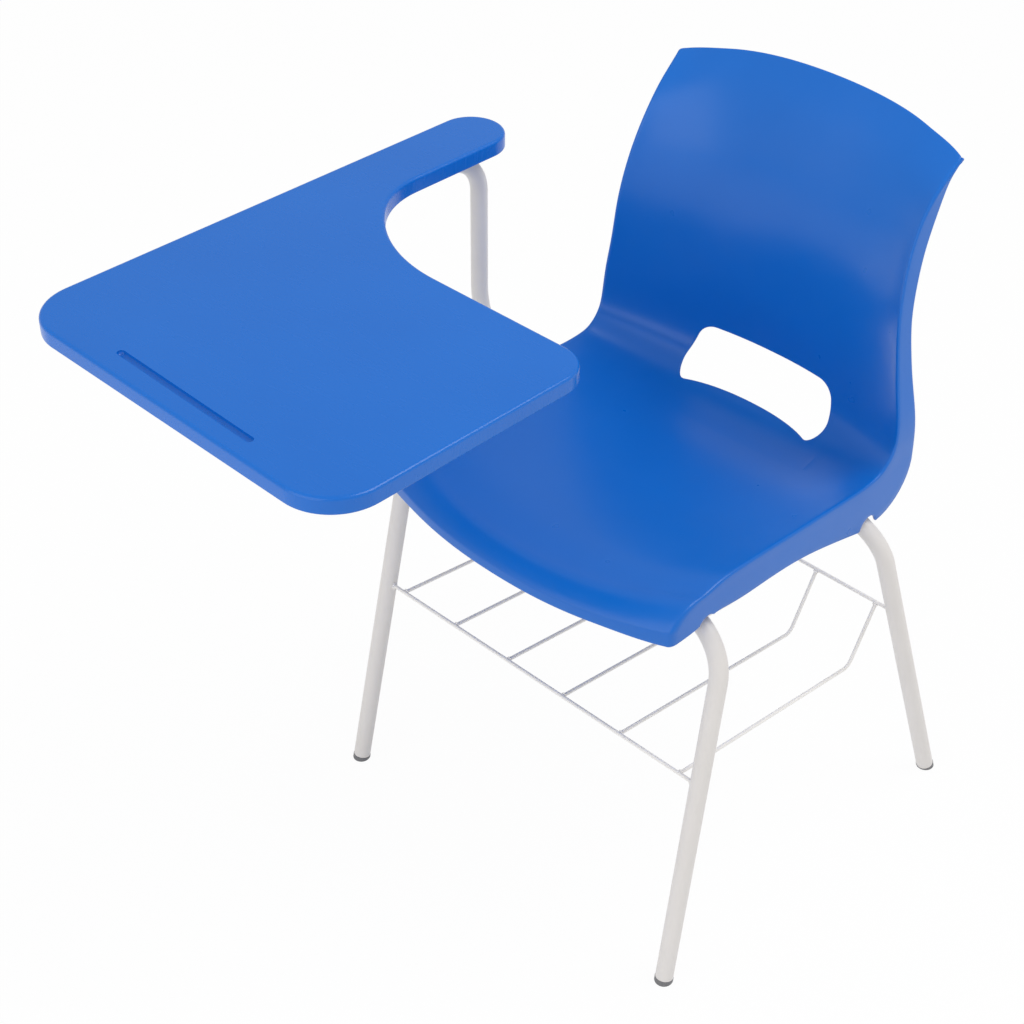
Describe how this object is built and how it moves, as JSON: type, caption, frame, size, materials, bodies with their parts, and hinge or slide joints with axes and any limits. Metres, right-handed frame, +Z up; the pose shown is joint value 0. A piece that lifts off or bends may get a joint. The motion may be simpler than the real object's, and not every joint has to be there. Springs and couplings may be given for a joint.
{
  "type": "tablet arm chair",
  "caption": "School chair with a moulded seat shell on a bent tube frame, a moulded writing tablet on an arm tube beside the seat, and a wire book rack below.",
  "frame": {"origin": "middle of the whole part's footprint box, on the floor", "axes": "+Z up, -Y to the front of the chair, +X to the sitter's left; the writing tablet is on the sitter's right, towards -X"},
  "size_m": [0.5986, 0.7494, 0.789],
  "materials": {
    "shell_plastic": "satin, blue",
    "tablet_plastic": "satin to glossy, blue",
    "tube_paint": "powder coat, off-white",
    "wire_paint": "powder coat, off-white",
    "plug_plastic": "mid grey",
    "screw_steel": "zinc plated"
  },
  "bodies": {
    "root": {"seat_shell": "shell_plastic", "tablet_board": "tablet_plastic", "front_leg_frame": "tube_paint", "rear_leg_frame": "tube_paint", "seat_rail_left": "tube_paint", "seat_rail_right": "tube_paint", "arm_tube": "tube_paint", "foot_plug_front_left": "plug_plastic", "foot_plug_front_right": "plug_plastic", "foot_plug_rear_left": "plug_plastic", "foot_plug_rear_right": "plug_plastic", "arm_tube_cap_seat": "plug_plastic", "arm_tube_cap_tablet": "plug_plastic", "rack_front_wire": "wire_paint", "rack_rear_wire": "wire_paint", "tablet_bracket_elbow": "tube_paint", "tablet_bracket_side": "tube_paint", "tablet_bracket_middle": "tube_paint", "tablet_bracket_inner": "tube_paint", "seat_screws": "screw_steel", "tablet_screws": "screw_steel", "rack_wire_1": "wire_paint", "rack_wire_2": "wire_paint", "rack_wire_3": "wire_paint", "rack_wire_4": "wire_paint", "rack_wire_5": "wire_paint", "rack_wire_6": "wire_paint"}
  },
  "joints": []
}
